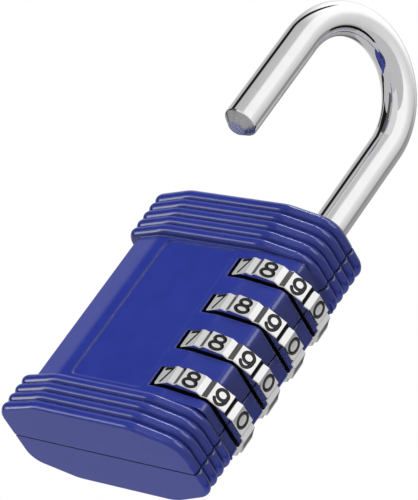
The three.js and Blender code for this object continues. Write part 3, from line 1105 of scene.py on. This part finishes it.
# %% [markdown]
# ### Lamps for the coat
# Lamps draw the bright lines on the coat: a soft one at the right, whose light runs down the corner of the
# body, and rows of narrow ones above and below, for the shoulders of the ribs. Lamps that strong would burn
# out the chrome beside them, so they are linked to the coated shells alone. Three broad lamps do the
# opposite work: they bring out the blue and don't show in the gloss. One set of lamps could do both, but
# then neither could be trimmed without the other.

# %% Lamps
AIM = Vector((0.008, 0, 0.03))  # near the middle of the body
LAMP_DISTANCE = 0.8
UNDER_LAMP_DISTANCE = 0.42  # above the floor
COLOUR_LAMPS = ("under_lamp", "key_lamp", "back_lamp")
LAMPS = {
    # degrees round, degrees up, degrees wide, degrees high, radiance
    "side_lamp": (-36, 27, 40, 44, 3.0),
    "side_lamp_core": (-36, 27, 22, 30, 20.0),
    "low_lamp_1": (-166, -24, 24, 11, 5.0),
    "low_lamp_2": (-141, -27, 24, 11, 4.5),
    "low_lamp_3": (-116, -30, 24, 9, 7.0),
    "low_lamp_4": (-91, -30, 24, 9, 8.0),
    "high_lamp_1": (-118, 60, 30, 6, 14.0),
    "high_lamp_2": (-75, 54, 30, 6, 14.0),
    "under_lamp": (60, -62, 60, 60, 4.0, UNDER_LAMP_DISTANCE),
    "key_lamp": (-105, 15, 50, 50, 8.0),
    "back_lamp": (100, 20, 60, 60, 4.0),
}
coated = bpy.data.collections.new("coated_shells")
for skin in (front_skin, back_skin):
    coated.objects.link(skin)


def make_lamp(name, azimuth, elevation, wide, high, radiance, distance=LAMP_DISTANCE):
    light = bpy.data.lights.new(name, "AREA")
    light.shape = "ELLIPSE" if name.startswith("side") else "RECTANGLE"
    light.size = 2 * distance * math.tan(math.radians(wide / 2))
    light.size_y = 2 * distance * math.tan(math.radians(high / 2))
    area = light.size * light.size_y * (math.pi / 4 if light.shape == "ELLIPSE" else 1)
    light.energy = radiance * math.pi * area
    lamp = bpy.data.objects.new(name, light)
    towards = direction_of(azimuth, elevation)
    lamp.location = AIM + towards * distance
    lamp.rotation_mode = "QUATERNION"
    lamp.rotation_quaternion = (-towards).to_track_quat("-Z", "Y")
    lamp.visible_camera = False
    lamp.visible_diffuse = name in COLOUR_LAMPS
    lamp.visible_glossy = name not in COLOUR_LAMPS
    bpy.context.collection.objects.link(lamp)
    lamp.light_linking.receiver_collection = coated
    print(name, round(light.size, 2), "by", round(light.size_y, 2), "m,", round(light.energy, 1), "W")


for name, facts in LAMPS.items():
    make_lamp(name, *facts)

# %% [markdown]
# ### Low cards
# Low cards close to the lock are seen only in its dials and in the lower part of the body, as the tall parts
# look over them. They give each flat of a dial its own grey, as the boards round a small product do. The
# tent can't do that, because what is far away looks the same from the dials and from the shackle.

# %% Low cards
CARD_DISTANCE = 0.35
CARD_TOP = 0.2265
CARD_BOTTOM = -0.25
CARD_STEPS = 8
LOW_CARDS = {
    # from and to in degrees round, brightness as a screen value
    "grey_card": (-130, -105, 84),
    "light_card": (-104, -60, 216),
    "black_card": (47.5, 60, 20),
    "narrow_card": (171, 184, 12),
}


def make_card(name, start, end, level):
    corners, faces = [], []
    for k in range(CARD_STEPS + 1):
        angle = math.radians(start + (end - start) * k / CARD_STEPS)
        for z in (CARD_BOTTOM, CARD_TOP):
            edge = CARD_DISTANCE * Vector((math.cos(angle), math.sin(angle), 0)) + Vector((0, 0, z))
            corners.append(edge / MM)
    for k in range(CARD_STEPS):
        faces.append([2 * k, 2 * k + 2, 2 * k + 3, 2 * k + 1])
    glow, _, shader = principled(f"{name}_glow", Emission_Strength=1.0, Base_Color=(0, 0, 0, 1))
    shader.inputs["Emission Color"].default_value = (*[screen_to_light(level)] * 3, 1)
    shader.inputs["Specular IOR Level"].default_value = 0
    card = new_piece(name, corners, faces, [glow])
    card.visible_camera = False
    card.visible_diffuse = False
    card.visible_shadow = False


for name, facts in LOW_CARDS.items():
    make_card(name, *facts)
print(len(LOW_CARDS), "cards stand", CARD_DISTANCE, "m away")

# %% [markdown]
# ### Floor
# The floor is pale and far below, because the camera looks up at the lock. The lock could stand on it, but
# then its underside, which the camera looks at, would be hidden.

# %% Floor
FLOOR_Z = -0.5
FLOOR_HALF = 3.0

pale, tree, shader = principled("pale_floor")
where = place_in_millimetres(tree)
light_grey, off_white = (0.67, 0.67, 0.68), (0.70, 0.70, 0.70)
tree.links.new(two_tones(tree, noise(tree, where, 0.01), light_grey, off_white), shader.inputs["Base Color"])
tree.links.new(remap(tree, noise(tree, where, 0.05), 0.75, 0.9), shader.inputs["Roughness"])

ground = bmesh.new()
bmesh.ops.create_grid(ground, x_segments=12, y_segments=12, size=FLOOR_HALF)
floor_mesh = bpy.data.meshes.new("floor")
ground.to_mesh(floor_mesh)
ground.free()
floor_mesh.materials.append(pale)
floor = bpy.data.objects.new("floor", floor_mesh)
floor.location.z = FLOOR_Z
bpy.context.collection.objects.link(floor)
print("floor lies", -FLOOR_Z, "m below the lock")
